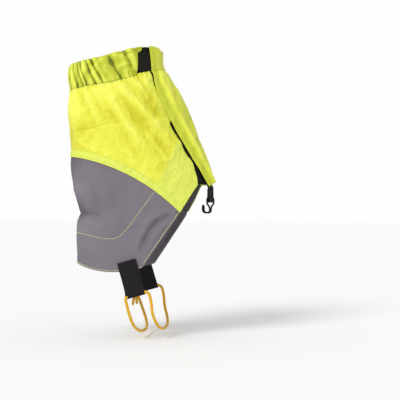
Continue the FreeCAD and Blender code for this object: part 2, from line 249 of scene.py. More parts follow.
# soft folds seen from the side: corners, half width, height
outerFolds = [
    (((-57, 124), (-56, 92)), 3.0, 0.8),
    (((-50, 127), (-45, 96)), 3.0, 1.0),
    (((-41, 127), (-32, 108), (-24, 90)), 3.2, 1.4),
    (((-29, 129), (-16, 104)), 3.0, 1.0),
    (((-20, 131), (-2, 102), (24, 62)), 4.4, 1.9),
    (((-8, 134), (14, 112), (34, 92), (46, 70)), 4.4, 1.9),
    (((7, 138), (21, 124)), 3.0, 1.1),
    (((18, 142), (27, 122)), 2.6, 0.8),
    (((-44, 76), (-20, 62), (0, 48)), 5.5, 0.8),
    (((6, 60), (24, 38)), 4.5, 0.9),
    (((-52, 42), (-50, 16)), 4.0, 1.0),
    (((-36, 40), (-30, 8)), 5.0, -0.7),
    (((46, -6), (38, -13), (31, -23), (26, -34)), 2.6, 0.9),
    (((45, -1), (34, -7), (26, -16), (21, -27), (16, -40)), 2.6, -2.0),
    (((36, 4), (26, -4), (18, -15), (13, -30)), 4.0, 0.9),
    (((4, -14), (22, -12), (36, -4)), 3.0, -0.6),
    (((-40, -4), (-20, -14)), 4.0, 0.7),
    (((-46, -30), (-22, -40)), 5.0, 0.7),
    (((-53, 118), (-50, 98)), 1.5, 0.5),
    (((-34, 124), (-25, 103)), 1.4, 0.6),
    (((-12, 128), (2, 110), (10, 96)), 1.6, 0.7),
    (((-2, 128), (12, 118), (26, 98)), 1.4, 0.5),
    (((14, 134), (26, 116)), 1.5, 0.6),
    (((-6, 78), (-2, 66), (12, 58)), 1.8, 0.6),
    (((10, 72), (18, 60)), 1.5, 0.5),
    (((-52, 76), (-38, 68), (-26, 64)), 1.8, 0.5),
    (((22, 84), (38, 64), (46, 50)), 2.0, 0.8),
    (((14, 46), (30, 36)), 1.6, 0.5),
    (((40, 86), (46, 74)), 1.5, 0.5),
]
innerFolds = [
    (((-55, 124), (-56, 98)), 3.0, 0.9),
    (((-44, 127), (-36, 100)), 3.2, 1.1),
    (((-30, 129), (-18, 104), (-8, 86)), 3.6, 1.5),
    (((-14, 132), (6, 104), (30, 70)), 4.4, 1.8),
    (((4, 137), (24, 112), (44, 84)), 4.2, 1.7),
    (((20, 143), (34, 122)), 2.8, 1.0),
    (((-40, 70), (-10, 58)), 5.5, 0.9),
    (((16, 56), (36, 36)), 4.5, 1.0),
    (((-50, 40), (-48, 14)), 4.0, 1.0),
    (((-28, 34), (-22, 6)), 5.0, -0.8),
    (((46, -2), (32, -24), (22, -40)), 4.5, 1.2),
    (((-36, -8), (-14, -18)), 4.0, 0.8),
]

cloth = {
    "pleatSpacing": ((48, 13.0), (75, 12.0), (95, 8.5), (130, 6.5),  # angle, and mm from pleat to pleat
                     (180, 7.5), (230, 6.5), (290, 10.0), (352, 12.0)),
    "pleatStart": 48, "pleatEnd": 352, "cuffRadius": 46.0, "frontRadius": 44.0,
    "pleatHeight": 2.7, "pleatDepth": 1.6, "pleatSlant": -0.25, "pleatReach": 17.0,
    "balloon": 2.1, "balloonDrop": 8.0, "puckerPitch": 4.6, "pucker": 0.62, "creaseDepth": 0.6,
    "pinchHeight": 1.5, "pinchDepth": 1.6, "seamLap": 5.0, "seamRows": (1.6, 6.6),
    "ringSpacing": 36.0, "seamY": 3.2,
    "back": ((-57, 0.8), (-46, 1.0), (-31, 2.6), (-15.5, 3.4), (-6, 3.0), (1.5, 0.0), (9, 0.0), (15.5, 0.6),
             (26, 2.3), (38, 1.2), (52, 0.0), (68, -1.0), (79, -0.8), (90, 0.7), (107, 2.1), (123, 0.0),
             (129, 0.3), (138, 1.6), (175, 1.6)),
}


def pleatPlan():  # angles of the slits round the cuff, and each one's depth at its top and base
    rng = np.random.default_rng(7)
    angle, angles = math.radians(cloth["pleatStart"]), []
    spacing = np.array(cloth["pleatSpacing"], float)
    while angle < math.radians(cloth["pleatEnd"]):
        angles.append(angle)
        pitch = np.interp(math.degrees(angle), spacing[:, 0], spacing[:, 1])
        angle += pitch * rng.uniform(0.6, 1.4) / cloth["cuffRadius"]
    count = len(angles)
    sizes, tilts = rng.uniform(0.85, 1.25, count + 1), rng.uniform(-1, 1, count)
    return np.array(angles), sizes, tilts, rng.uniform(0.25, 1, (count, 3))


pleatAngles, pleatSizes, pleatTilts, slitDepths = pleatPlan()

cuffBaseDown, cuffTopDown = downEdge(cuffBaseHeight), downEdge(cuffTopHeight)


def slitDepth(i, down):  # 0 to 1, changing down the slit
    place = np.clip((down - 0.6) / 1.2, 0, 1.999)
    step = place.astype(int)
    above, below = slitDepths[i, step], slitDepths[i, np.minimum(step + 1, 2)]
    return above * (1 - place + step) + below * (place - step)


def pleats(around, down):  # round ridges between sharp slits, 0 in the deepest slits
    turned = around % (2 * np.pi) - cloth["pleatSlant"] * np.sin(around) * (down - 1.5)
    i = np.clip(np.searchsorted(pleatAngles, turned), 1, len(pleatAngles) - 1)
    drift = 0.07 * (down - 1.5)
    left = pleatAngles[i - 1] + drift * pleatTilts[i - 1]
    right = pleatAngles[i] + drift * pleatTilts[i]
    phase = np.clip((turned - left) / (right - left), 0, 1)
    depth = np.where(phase < 0.5, slitDepth(i - 1, down), slitDepth(i, down))
    fade = smooth(pleatAngles[0], pleatAngles[0] + 0.25, turned)
    fade = fade * smooth(pleatAngles[-1], pleatAngles[-1] - 0.2, turned)
    soft = 0.004 + 0.1 * smooth(-0.02, 0.1, down - cuffBaseDown(around))
    return 1 - depth * (1 - (np.sin(np.pi * phase) ** 2 + soft) ** 0.25 * pleatSizes[i]), fade


def belowCuff(around, down):  # mm down the cloth from the cuff's base
    return (down - cuffBaseDown(around)) * cloth["ringSpacing"]


def swell(around, z):  # how far the back stands out from the even form
    back = smooth(math.radians(112), math.radians(172), np.abs((around + np.pi) % (2 * np.pi) - np.pi))
    profile = np.array(cloth["back"])
    return back * np.interp(z, profile[:, 0], profile[:, 1])


def foldRelief(x, z, folds):
    total = np.zeros(np.shape(x))
    for corners, width, height in folds:
        corners = np.array(corners, float)
        lengths = np.linalg.norm(np.diff(corners, axis=0), axis=1)
        nearest, place = np.full(np.shape(x), 1e9), np.zeros(np.shape(x))
        for i, length in enumerate(lengths):
            way = (corners[i + 1] - corners[i]) / length
            rel = (x - corners[i, 0]) * way[0] + (z - corners[i, 1]) * way[1]
            t = np.clip(rel, 0, length)
            gap = np.hypot(x - corners[i, 0] - way[0] * t, z - corners[i, 1] - way[1] * t)
            closer = gap < nearest
            nearest = np.where(closer, gap, nearest)
            place = np.where(closer, (lengths[:i].sum() + t) / lengths.sum(), place)
        taper = np.sin(np.pi * np.clip(0.08 + place * 0.92, 0, 1)) ** 0.6
        ridge = np.exp(-(nearest / width) ** 2) - 0.45 * np.exp(-((nearest - 2.0 * width) / width) ** 2)
        total += height * taper * ridge
    return total


def relief(around, down):
    point = bodyPoint(around, down)
    x, z = point[..., 0], point[..., 2]
    outer = np.sin(around) > 0
    total = np.where(outer, foldRelief(x, z, outerFolds), foldRelief(x, z, innerFolds))
    total *= smooth(0.02, 0.3, np.abs(np.sin(around)))
    total *= np.where(outer, 0.35 + 0.65 * smooth(0, 14, slitX(z) - x), 1.0)
    upper = smooth(seamHeight(x) - 6, seamHeight(x) + 6, z)
    total += 0.35 * waves(point, 34, 3) + 0.05 * waves(point, 8, 4)
    total -= (0.15 + 0.5 * upper) * np.abs(waves(point * (1, 1, 0.6), 21, 5))
    total -= 0.26 * upper * np.abs(waves(point * (1.2, 1.2, 0.5), 9, 14))
    total -= 0.12 * upper * np.abs(waves(point, 5, 15))
    flatSeam = np.exp(-(edgeGap(seamHeight, x, z) / 7) ** 2)
    total *= 1 - 0.5 * flatSeam
    below = belowCuff(around, down)
    ridges, fade = pleats(around, down)
    inCuff = smooth(1.5, -1.5, below)
    reach = np.exp(-np.maximum(below, 0) / cloth["pleatReach"])
    gathered = (cloth["pleatHeight"] * ridges - cloth["pleatDepth"]) * fade * reach
    drop = np.maximum(below, 0) / cloth["balloonDrop"]
    balloon = cloth["balloon"] * drop * np.exp(1 - drop)
    turns = around * cloth["cuffRadius"] / cloth["puckerPitch"]
    pucker = np.sin(turns * 2 * np.pi + 2 * waves(point, 25, 12))
    pucker = pucker * np.exp(-(below / 5.0) ** 2)
    total = total * (1 - inCuff) + gathered + balloon + cloth["pucker"] * pucker
    crease = z - alongX("crease")(x)
    sharp = np.where(x < -12, 1.0, 0.45)
    lip = 0.5 * np.exp(-np.abs(crease + 2) / 3)
    total += sharp * cloth["creaseDepth"] * (lip - np.exp(-(crease / 0.8) ** 2))
    back = smooth(math.radians(118), math.radians(176), np.abs((around + np.pi) % (2 * np.pi) - np.pi))
    pinch = np.exp(-np.abs(z - cloth["pinchHeight"]) / 4.5)
    total += swell(around, z) - cloth["pinchDepth"] * back * pinch
    along = around * 60 / cloth["puckerPitch"] * 2 * np.pi / 1.4
    for row in cloth["seamRows"]:
        near = np.exp(-((edgeGap(seamHeight, x, z) - row) / 1.1) ** 2)
        total += near * (0.16 * np.sin(along + waves(point, 30, 9)) - 0.34)
    return total


def shellLift(around, down):
    x, z = sideOf(around, down)
    lap = smooth(cloth["seamLap"] + 1.5, cloth["seamLap"] - 1.0, edgeGap(seamHeight, x, z))
    hem = smooth(5.5, 4.0, edgeGap(lowHeight, x, z))
    inset = slitX(z) - x
    fold = np.where(np.sin(around) > 0, smooth(5.6, 4.9, inset) - np.exp(-((inset - 4.2) / 0.7) ** 2), 0)
    tucked = smooth(0.5, -0.4, belowCuff(around, down)) * (x < 13)
    return relief(around, down) - 0.1 + 0.45 * lap + 0.35 * hem * (1 - lap) + 0.4 * fold - 0.5 * tucked


def guardLift(around, down):
    x, z = sideOf(around, down)
    hemGap, facingGap = edgeGap(lowHeight, x, z), edgeGap(facingHeight, x, z)
    hem = smooth(6.5, 5.0, hemGap) - 0.8 * np.exp(-((hemGap - 3.2) / 0.8) ** 2)
    row = np.exp(-facingGap ** 2)
    double = smooth(1.0, -1.0, facingGap)
    tabs = np.exp(-((x - 5) / 14) ** 4) * smooth(-36, -44, z)
    return relief(around, down) * (1 - 0.8 * tabs) - 0.75 + 0.35 * hem - 0.35 * row + 0.25 * double


def flapRaised(point):  # 0 at the flap's seam, 1 where it lies on the closure
    return smooth(0, 8, cloth["seamY"] - point[..., 1])


def flapInset(around, down):  # mm in from the flap's free edge
    return (flapSide(down) - around) * cloth["frontRadius"]


def flapLift(around, down):
    point = bodyPoint(around, down)
    raised = flapRaised(point)
    long = 0.8 * waves(point * (1, 1, 0.3), 13, 21) + 0.12 * waves(point, 7, 22)
    inset = flapInset(around, down)
    ridge = flap["ridge"] * np.exp(-((inset - 11) / 2.8) ** 2)
    ridge = ridge - flap["groove"] * np.exp(-((inset - 5.5) / 3.0) ** 2)
    crease = flap["crease"] * np.exp(-((point[..., 2] - flap["creaseZ"]) / 0.9) ** 2)
    below = belowCuff(around, down)
    drop = np.maximum(below, 0) / cloth["balloonDrop"]
    balloon = flap["balloon"] * drop * np.exp(1 - drop)
    neck = flap["neck"] * np.exp(-(below / 2.0) ** 2)
    lap = (1 - raised) * (0.35 + 1.1 * smooth(1.5, -1.5, below) + 0.9 * relief(around, down))
    folds = (0.6 * long + ridge * smooth(-4, 12, below)) * raised - crease - neck * raised
    return lap + flap["lift"] * raised + folds + balloon * raised


flap = {"lift": 1.8, "ridge": 1.5, "groove": 0.7, "crease": 0.45, "creaseZ": 77, "balloon": 1.6, "neck": 0.6,
        "startY": 6.0, "cloth": 0.7, "hem": 7.1, "tapeY": -5.0, "tapeUnder": 0.75, "tapeCloth": 0.45}
flapSide = aroundEdge(alongZ("flapEdge"))
slitSide = aroundEdge(slitX)
reachSide = aroundEdge(slitReach)


# meshes

def lengthsAlong(points, axis):
    step = np.linalg.norm(np.diff(points, axis=axis), axis=-1)
    start = np.zeros_like(np.take(step, [0], axis=axis))
    return np.concatenate([start, np.cumsum(step, axis=axis)], axis=axis)


def meshObject(name, vertices, faces, cornerUv):
    mesh = bpy.data.meshes.new(name)
    mesh.from_pydata(vertices.tolist(), [], faces.tolist() if hasattr(faces, "tolist") else faces)
    if cornerUv is not None:
        mesh.uv_layers.new(name="UVMap").data.foreach_set("uv", np.asarray(cornerUv, np.float32).ravel())
    mesh.polygons.foreach_set("use_smooth", np.ones(len(mesh.polygons), bool))
    thing = bpy.data.objects.new(name, mesh)
    bpy.context.scene.collection.objects.link(thing)
    return thing


def gridObject(name, points, outward=None):  # points in mm, rows by columns
    points = points * mm
    rows, columns = points.shape[:2]
    index = np.arange(rows * columns).reshape(rows, columns)
    quads = np.stack([index[:-1, :-1], index[1:, :-1], index[1:, 1:], index[:-1, 1:]], -1).reshape(-1, 4)
    if outward is not None:
        i, j = rows // 2, columns // 2
        turn = np.cross(points[i + 1, j] - points[i, j], points[i, j + 1] - points[i, j])
        if turn @ outward[i, j] < 0:
            quads = quads[:, ::-1]
    uv = np.stack([lengthsAlong(points, 1), lengthsAlong(points, 0)], -1).reshape(-1, 2)
    return meshObject(name, points.reshape(-1, 3), quads, uv[quads.ravel()])


def paint(thing, name, values):  # a number at each vertex, for the material
    field = thing.data.attributes.new(name, "FLOAT", "POINT")
    field.data.foreach_set("value", np.asarray(values, np.float32).ravel())


def thicken(thing, thickness, offset=-1.0):
    solid = thing.modifiers.new("thickness", "SOLIDIFY")
    solid.thickness, solid.offset = thickness * mm, offset
    return thing


def sheetGrid(rows, columns, aroundFrom, aroundTo, downFrom, downTo):
    s, t = np.linspace(0, 1, columns)[None, :], np.linspace(0, 1, rows)[:, None]
    down = np.full((rows, columns), 3.0)
    for _ in range(12):
        around = aroundFrom(down) + (aroundTo(down) - aroundFrom(down)) * s
        down = downFrom(around) + (downTo(around) - downFrom(around)) * t
    return around, down


def bodySheet(name, around, down, lift, thickness):
    lifts = lift(around, down)
    thing = gridObject(name, onBody(around, down, lifts), outward=bodyNormal(around, down))
    thicken(thing, thickness)
    return thing


def behind(down):
    return np.full(np.shape(down), np.pi)


def shellBottom(x):
    return np.maximum(seamHeight(x), lowHeight(x))


def guardTop(x):  # tucked under the shell's folded edge
    return np.maximum(seamHeight(x) + 3.5, lowHeight(x) + 0.05)


def tapeX(z):  # back edge of the hook tape, under the outer panel
    return np.where(z < 142, slitX(z) - 4.5, np.interp(z, (142, 146), (21.0, 15.0)))


lowDown = downEdge(lowHeight)
frontSeam = aroundAtY(cloth["seamY"])


def keep(thing, finish, body, *nodes):
    thing.data.materials.append(finishes[finish])
    if isinstance(body, str):
        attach(thing, body)
    else:
        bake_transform(thing)
    if nodes:
        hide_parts(*nodes)
    return thing


# materials

class Value:
    def __init__(self, shader, socket):
        self.shader, self.socket = shader, socket

    def math(self, operation, *others):
        return self.shader.node("ShaderNodeMath", {"operation": operation}, dict(enumerate((self,) + others)))

    def __add__(self, other):
        return self.math("ADD", other)

    def __sub__(self, other):
        return self.math("SUBTRACT", other)

    def __rsub__(self, other):
        return (self * -1) + other

    def __mul__(self, other):
        return self.math("MULTIPLY", other)

    def __truediv__(self, other):
        return self.math("DIVIDE", other)

    __radd__, __rmul__ = __add__, __mul__


class Shader:
    def __init__(self, name, **settings):
        self.material = bpy.data.materials.new(name)
        self.material.use_nodes = True
        self.tree = self.material.node_tree
        self.surface = self.tree.nodes["Principled BSDF"]
        for place, value in settings.items():
            self.surface.inputs[place.replace("_", " ")].default_value = value

    def plug(self, place, value):
        if isinstance(value, Value):
            self.tree.links.new(value.socket, place)
        else:
            place.default_value = value

    def node(self, kind, settings=None, inputs=None, output=0):
        made = self.tree.nodes.new(kind)
        for name, value in (settings or {}).items():
            setattr(made, name, value)
        for place, value in (inputs or {}).items():
            self.plug(made.inputs[place], value)
        return Value(self, made.outputs[output])

    def uv(self):
        place = self.node("ShaderNodeTexCoord", output="UV")
        return [self.node("ShaderNodeSeparateXYZ", inputs={0: place}, output=i) for i in (0, 1)]

    def field(self, name):
        return self.node("ShaderNodeAttribute", {"attribute_name": name}, output="Fac")

    def noise(self, size, detail=2.0):
        place = self.node("ShaderNodeTexCoord", output="Object")
        return self.node("ShaderNodeTexNoise", inputs={"Vector": place, "Scale": 1 / size, "Detail": detail})

    def between(self, value, low, high):
        return self.node("ShaderNodeMapRange", {"interpolation_type": "SMOOTHSTEP"},
                         {"Value": value, "From Min": low, "From Max": high})

    def mix(self, amount, first, second):
        return self.node("ShaderNodeMix", {"data_type": "RGBA"}, {0: amount, 6: first, 7: second}, output=2)

    def color(self, value):
        self.plug(self.surface.inputs["Base Color"], value)

    def bump(self, height, strength, distance):
        sockets = {"Height": height, "Strength": strength, "Distance": distance}
        normal = self.node("ShaderNodeBump", inputs=sockets)
        self.plug(self.surface.inputs["Normal"], normal)


def tint(red, green, blue):  # display colour to linear
    return tuple(c / 12.92 if c <= 0.04045 else ((c + 0.055) / 1.055) ** 2.4
                 for c in (red / 255, green / 255, blue / 255)) + (1.0,)


def wave(value, pitch):
    return (value * (2 * math.pi / pitch)).math("SINE")


def clothFinish(name, look):
    shader = Shader(name, Roughness=look["roughness"])
    shader.surface.inputs["Specular IOR Level"].default_value = look["shine"]
    u, v = shader.uv()
    weave = wave(u, look["pitch"]) * wave(v, look["pitch"])
    blotch = shader.noise(0.018)
    crinkle = shader.noise(0.0045, 3.0)
    # painted shade and highlight: the painted height attribute, with random blotches, picks the colour,
    # darkest in folds and slits and lightest on ridges
    depth = shader.field("height") + (blotch - 0.5) * look["blotch"]
    base = shader.mix(shader.between(depth, -1.6, 0.2), look["hollow"], look["flat"])
    base = shader.mix(shader.between(depth, 0.3, 2.0), base, look["ridge"])
    base = shader.mix(shader.field("doubled"), base, look["doubled"])
    base = shader.mix(weave * 0.5 + 0.5, base, shader.mix(look["weaveShade"], base, (0, 0, 0, 1)))
    shader.color(base)
    fold = (shader.noise(0.013, 1.5) - 0.5).math("ABSOLUTE")
    small = (shader.noise(0.006, 1.0) - 0.5).math("ABSOLUTE")
    crumple = (fold * 7.0 + small * 2.5) * look["crumple"]
    shader.bump(weave * look["weaveBump"] + crinkle * look["crinkle"] - crumple, look["bump"], 0.0004)
    return shader.material


def webbingFinish(name, look):
    shader = Shader(name, Roughness=look["roughness"])
    shader.surface.inputs["Specular IOR Level"].default_value = 0.15
    u, v = shader.uv()
    rib = wave(u, look["rib"])
    cross = wave(v + u * 0.5, look["cross"])
    thread = rib * 0.6 + rib * cross * 0.4
    # painted shade: the colour follows the rib relief, darker in the grooves between the ribs
    shader.color(shader.mix(thread * 0.5 + 0.5, look["low"], look["high"]))
    shader.bump(thread + shader.noise(0.0012), 0.7, 0.0003)
    return shader.material


def braidFinish(name, look):
    shader = Shader(name, Roughness=look["roughness"])
    u, v = shader.uv()
    turn = u * (look["strands"] / (math.pi * look["diameter"]))
    one = ((turn + v / look["pitch"]) * (2 * math.pi)).math("SINE")
    two = ((turn - v / look["pitch"]) * (2 * math.pi)).math("SINE")
    braid = one.math("MAXIMUM", two)
    # painted shade: the colour follows the braid relief, darker in the grooves between the strands
    shader.color(shader.mix(shader.between(braid, -0.3, 0.9), look["low"], look["high"]))
    shader.bump(braid, 0.8, 0.0004)
    return shader.material


def plainFinish(name, look):
    shader = Shader(name, Roughness=look["roughness"], Metallic=look.get("metallic", 0.0))
    shader.surface.inputs["Specular IOR Level"].default_value = look.get("shine", 0.15)
    grain = shader.noise(look["grain"])
    shader.color(shader.mix(shader.between(grain, 0.35, 0.65), look["low"], look["high"]))
    shader.bump(grain, look["bump"], 0.0003)
    return shader.material


# in each cloth look the darkest colour is painted shade for folds and slits, and the ridge colour is painted
# highlight on ridges
looks = {
    "shellCloth": (clothFinish, {
        "roughness": 0.5, "shine": 0.3, "pitch": 0.0007, "blotch": 0.55, "bump": 0.55, "weaveBump": 0.15,
        "crumple": 2.2, "crinkle": 1.1, "weaveShade": 0.04, "hollow": tint(212, 208, 42),
        "flat": tint(231, 231, 72), "ridge": tint(243, 242, 96), "doubled": tint(221, 231, 96)}),
    "cuffCloth": (clothFinish, {
        "roughness": 0.5, "shine": 0.3, "pitch": 0.0007, "blotch": 0.7, "bump": 0.55, "weaveBump": 0.15,
        "crumple": 2.0, "crinkle": 1.2, "weaveShade": 0.04, "hollow": tint(104, 116, 8),
        "flat": tint(190, 198, 44), "ridge": tint(230, 236, 86), "doubled": tint(190, 198, 44)}),
    "flapCloth": (clothFinish, {
        "roughness": 0.5, "shine": 0.3, "pitch": 0.0007, "blotch": 0.6, "bump": 0.45, "weaveBump": 0.15,
        "crumple": 1.6, "crinkle": 1.0, "weaveShade": 0.04, "hollow": tint(190, 198, 40),
        "flat": tint(222, 228, 68), "ridge": tint(236, 241, 84), "doubled": tint(206, 216, 60)}),
    "guardCloth": (clothFinish, {
        "roughness": 0.75, "shine": 0.2, "pitch": 0.0009, "blotch": 0.4, "bump": 0.4, "weaveBump": 0.5,
        "crumple": 0.5, "crinkle": 0.5, "weaveShade": 0.08, "hollow": tint(103, 95, 105),
        "flat": tint(125, 118, 127), "ridge": tint(136, 130, 138), "doubled": tint(125, 118, 127)}),
    "facingCloth": (clothFinish, {
        "roughness": 0.8, "shine": 0.2, "pitch": 0.0008, "blotch": 0.6, "bump": 0.3, "weaveBump": 0.4,
        "crumple": 0.5, "crinkle": 0.5, "weaveShade": 0.08, "hollow": tint(84, 80, 90),
        "flat": tint(112, 107, 116), "ridge": tint(126, 121, 130), "doubled": tint(112, 107, 116)}),
    "elastic": (webbingFinish, {
        "roughness": 0.8, "rib": 0.0016, "cross": 0.0012, "low": tint(190, 190, 186),
        "high": tint(232, 232, 228)}),
    "hookTape": (plainFinish, {
        "roughness": 0.7, "grain": 0.0009, "low": tint(12, 12, 8), "high": tint(34, 34, 25), "bump": 0.9}),
    "loopTape": (plainFinish, {
        "roughness": 0.95, "grain": 0.0007, "low": tint(26, 26, 27), "high": tint(54, 53, 52), "bump": 0.8}),
    "webbing": (webbingFinish, {
        "roughness": 0.7, "rib": 0.0013, "cross": 0.0009, "low": tint(13, 11, 13), "high": tint(42, 37, 41)}),
    "cord": (braidFinish, {
        "roughness": 0.55, "strands": 8, "diameter": 0.003, "pitch": 0.0042,
        "low": tint(246, 158, 10), "high": tint(255, 208, 40)}),
    "limeThread": (plainFinish, {
        "roughness": 0.6, "grain": 0.0008, "low": tint(208, 222, 60), "high": tint(232, 244, 110),
        "bump": 0.2}),
    "paleThread": (plainFinish, {
        "roughness": 0.6, "grain": 0.0008, "low": tint(206, 228, 120), "high": tint(232, 246, 164),
        "bump": 0.2}),
    "darkThread": (plainFinish, {
        "roughness": 0.6, "grain": 0.0008, "low": tint(18, 18, 18), "high": tint(40, 39, 39), "bump": 0.2}),
    "wire": (plainFinish, {
        "roughness": 0.32, "metallic": 1.0, "grain": 0.003, "low": tint(34, 34, 35),
        "high": tint(48, 48, 50), "bump": 0.02}),
}
finishes = {name: make(name, look) for name, (make, look) in looks.items()}
print("materials made")

flapBlend = ("gaiter", "flap", (0.06397, 0.003, 0.1022), (0.06397, -0.009, 0.1022))  # from the seam inwards


# panels

panel = {"cloth": 0.6, "underCuff": 0.8, "guardEnd": 60.2, "facingUnder": 0.95, "facingCloth": 0.35,
         "facingHem": 0.6, "facingIn": 0.03}


def doubledShell(around, down):  # where a second layer of cloth lies behind
    x, z = sideOf(around, down)
    seam = smooth(8.2, 7.2, edgeGap(seamHeight, x, z))
    facing = smooth(-0.5, 0.5, edgeGapSide(outlines["facingTop"], x, z))
    edge = np.where(np.sin(around) > 0, smooth(6.0, 5.0, slitX(z) - x), 0)
    return np.maximum(np.maximum(seam, 0.9 * facing), 0.3 * edge)


def edgeGapSide(corners, x, z):  # how far a point is below and ahead of a line of corners
    corners = np.array(corners, float)
    nearest, sign = np.full(np.shape(x), 1e9), np.ones(np.shape(x))
    for a, b in zip(corners[:-1], corners[1:]):
        way = (b - a) / np.linalg.norm(b - a)
        along = np.clip((x - a[0]) * way[0] + (z - a[1]) * way[1], 0, np.linalg.norm(b - a))
        gap = np.hypot(x - a[0] - way[0] * along, z - a[1] - way[1] * along)
        side = (x - a[0]) * way[1] - (z - a[1]) * way[0]
        closer = gap < nearest - 1e-9
        nearest, sign = np.where(closer, gap, nearest), np.where(closer, np.sign(side), sign)
    return nearest * sign


def shaded(around):  # painted shade: the cloth's colour is a little darker where it turns away behind
    return smooth(math.radians(135), math.radians(172), around)


def gatherShade(around, down):  # painted shade in the creases that run on below the cuff, a little painted highlight on the ridges between them, and a lighter colour below the crease line
    ridges, fade = pleats(around, down)
    below = belowCuff(around, down)
    x, z = sideOf(around, down)
    lower = smooth(4, -8, z - alongX("crease")(x))
    return 2.6 * (ridges - 0.95) * fade * np.exp(-np.maximum(below, 0) / 20) + 1.1 * lower - 0.35


def guardCorner(down):  # the angle of the guard's front end
    return np.full(np.shape(down), math.radians(panel["guardEnd"]))


def makePanels():
    shellDown, guardDown = downEdge(shellBottom), downEdge(guardTop)
    underCuff = downEdge(lambda x: cuffBaseHeight(x) + panel["underCuff"])
    for side, name, front in ((1, "Outer", reachSide), (-1, "Inner", lambda d: -frontSeam(d))):
        around, down = sheetGrid(190, 220, behind, front, underCuff, shellDown)
        thing = bodySheet("shell" + name, around * side, down, shellLift, panel["cloth"])
        # painted shade and highlight: the shell's colour follows its relief, darker in the gathers and where
        # it turns away behind
        paintedShade = gatherShade(around * side, down) - 0.9 * shaded(around)
        paint(thing, "height", relief(around * side, down) + paintedShade)
        paint(thing, "doubled", doubledShell(around * side, down))
        keep(thing, "shellCloth", "gaiter", "shell_panel_" + name.lower())
        around, down = sheetGrid(150, 160, behind, guardCorner, guardDown, lowDown)
        thing = bodySheet("guard" + name, around * side, down, guardLift, panel["cloth"])
        # painted shade: the guard's colour follows its relief, is darker where it turns away behind, and
        # carries a painted shadow over its lower part
        low = smooth(-16, -30, sideOf(around, down)[1])
        paint(thing, "height", relief(around * side, down) - 1.6 * shaded(around) - 0.6 * low)
        paint(thing, "doubled", 0.8 * smooth(0.5, -0.5, edgeGap(facingHeight, *sideOf(around * side, down))))
        keep(thing, "guardCloth", "gaiter", "ankle_guard_" + name.lower())


def facingLift(around, down):
    x, z = sideOf(around, down)
    onShell = smooth(3.0, 5.0, edgeGap(seamHeight, x, z))
    outside = (1 - onShell) * guardLift(around, down) + onShell * shellLift(around, down)
    return outside - panel["facingUnder"] - 0.25 * (1 - onShell)


def makeFacings():
    facingDown = downEdge(facingHeight)
    edgeDown = downEdge(lambda x: lowHeight(x) + panel["facingHem"])
    for side, name in ((1, "Outer"), (-1, "Inner")):
        around, down = sheetGrid(60, 150, behind, lambda d: slitSide(d) + panel["facingIn"],
                                 facingDown, edgeDown)
        thing = bodySheet("facing" + name, around * side, down, facingLift, panel["facingCloth"])
        keep(thing, "facingCloth", "gaiter", "hem_facing_" + name.lower())


# cuff

cuff = {"fullness": 1.1, "valley": 2.3, "height": 3.4, "deepest": -1.75, "lining": -3.15, "roll": 0.055,
        "cloth": 0.4, "columns": 720, "elastic": -1.75, "elasticCloth": 0.5, "elasticStart": 9.0,
        "end": ((12.9, 144), (12.9, 163.5), (16.4, 165.5), (17.2, 171))}


def cuffEndX(z):  # the cuff's front end, ahead of the patch at the rim
    x, height = np.array(cuff["end"]).T
    return np.interp(z, height, x)


def cuffFarEnd(down):  # its other end, at the flap's seam
    return 2 * np.pi + frontSeam(down)


def elasticLift(around, down):
    rib = 0.1 * np.sin(around * 190)
    return cuff["elastic"] + rib + swell(around, sideOf(around, down)[1])


def makeCuff():
    near, far = aroundEdge(cuffEndX), cuffFarEnd
    rows = [(u, 0.0) for u in np.linspace(0, 1, 26)]
    rows += [(1.0, angle) for angle in np.linspace(0, np.pi, 11)[1:-1]]
    rows += [(u, np.pi) for u in np.linspace(1, 0, 14)]
    u, angle = (np.array(values)[:, None] for values in zip(*rows))
    s = np.linspace(0, 1, cuff["columns"])[None, :]
    down = np.full((len(rows), cuff["columns"]), 1.2)
    for _ in range(12):
        around = near(down) + (far(down) - near(down)) * s
        base, top = cuffBaseDown(around), cuffTopDown(around)
        down = base + (top + cuff["roll"] - base) * u - cuff["roll"] * np.sin(angle)
    ridges, fade = pleats(around, down)
    gathered = (cuff["height"] * ridges - cuff["valley"]) * fade
    point = bodyPoint(around, down)
    crumple = 0.30 * waves(point * (1, 1, 0.5), 9, 31) - 0.45 * np.abs(waves(point * (0.7, 0.7, 1), 11, 32))
    gathered = np.maximum(gathered + (crumple + 0.3) * (0.3 + 0.7 * fade), cuff["deepest"])
    puff = cuff["fullness"] * np.sin(np.pi * np.clip(u, 0, 1)) * (angle == 0)
    outer = 0.25 + gathered * (0.8 + 0.2 * u) + puff + swell(around, point[..., 2])
    sewn = np.exp(-(u / 0.13) ** 2) * (angle == 0)
    outer += sewn * (relief(around, base) + 0.3 - outer)
    inner = cuff["lining"] + 0.12 * gathered + swell(around, point[..., 2])
    lift = (outer + inner) / 2 + (outer - inner) / 2 * np.cos(angle)
    down = down - 0.02 * gathered * np.sin(angle)
    thing = gridObject("cuffBand", onBody(around, down, lift), outward=bodyNormal(around, down))
    thicken(thing, cuff["cloth"])
    # painted shade in the pleats' slits and painted highlight on their ridges
    paint(thing, "height", 1.6 * gathered - 0.3)
    keep(thing, "cuffCloth", "gaiter", "cuff_casing")
    start = aroundEdge(level(cuff["elasticStart"]))
    around, down = sheetGrid(20, 260, start, lambda d: cuffFarEnd(d) - 0.06,
                             downEdge(lambda x: cuffTopHeight(x) - 3),
                             downEdge(lambda x: cuffBaseHeight(x) + 3))
    thing = bodySheet("elasticBand", around, down, elasticLift, cuff["elasticCloth"])
    keep(thing, "elastic", "gaiter", "cuff_elastic")


# hook and loop closure and front flap

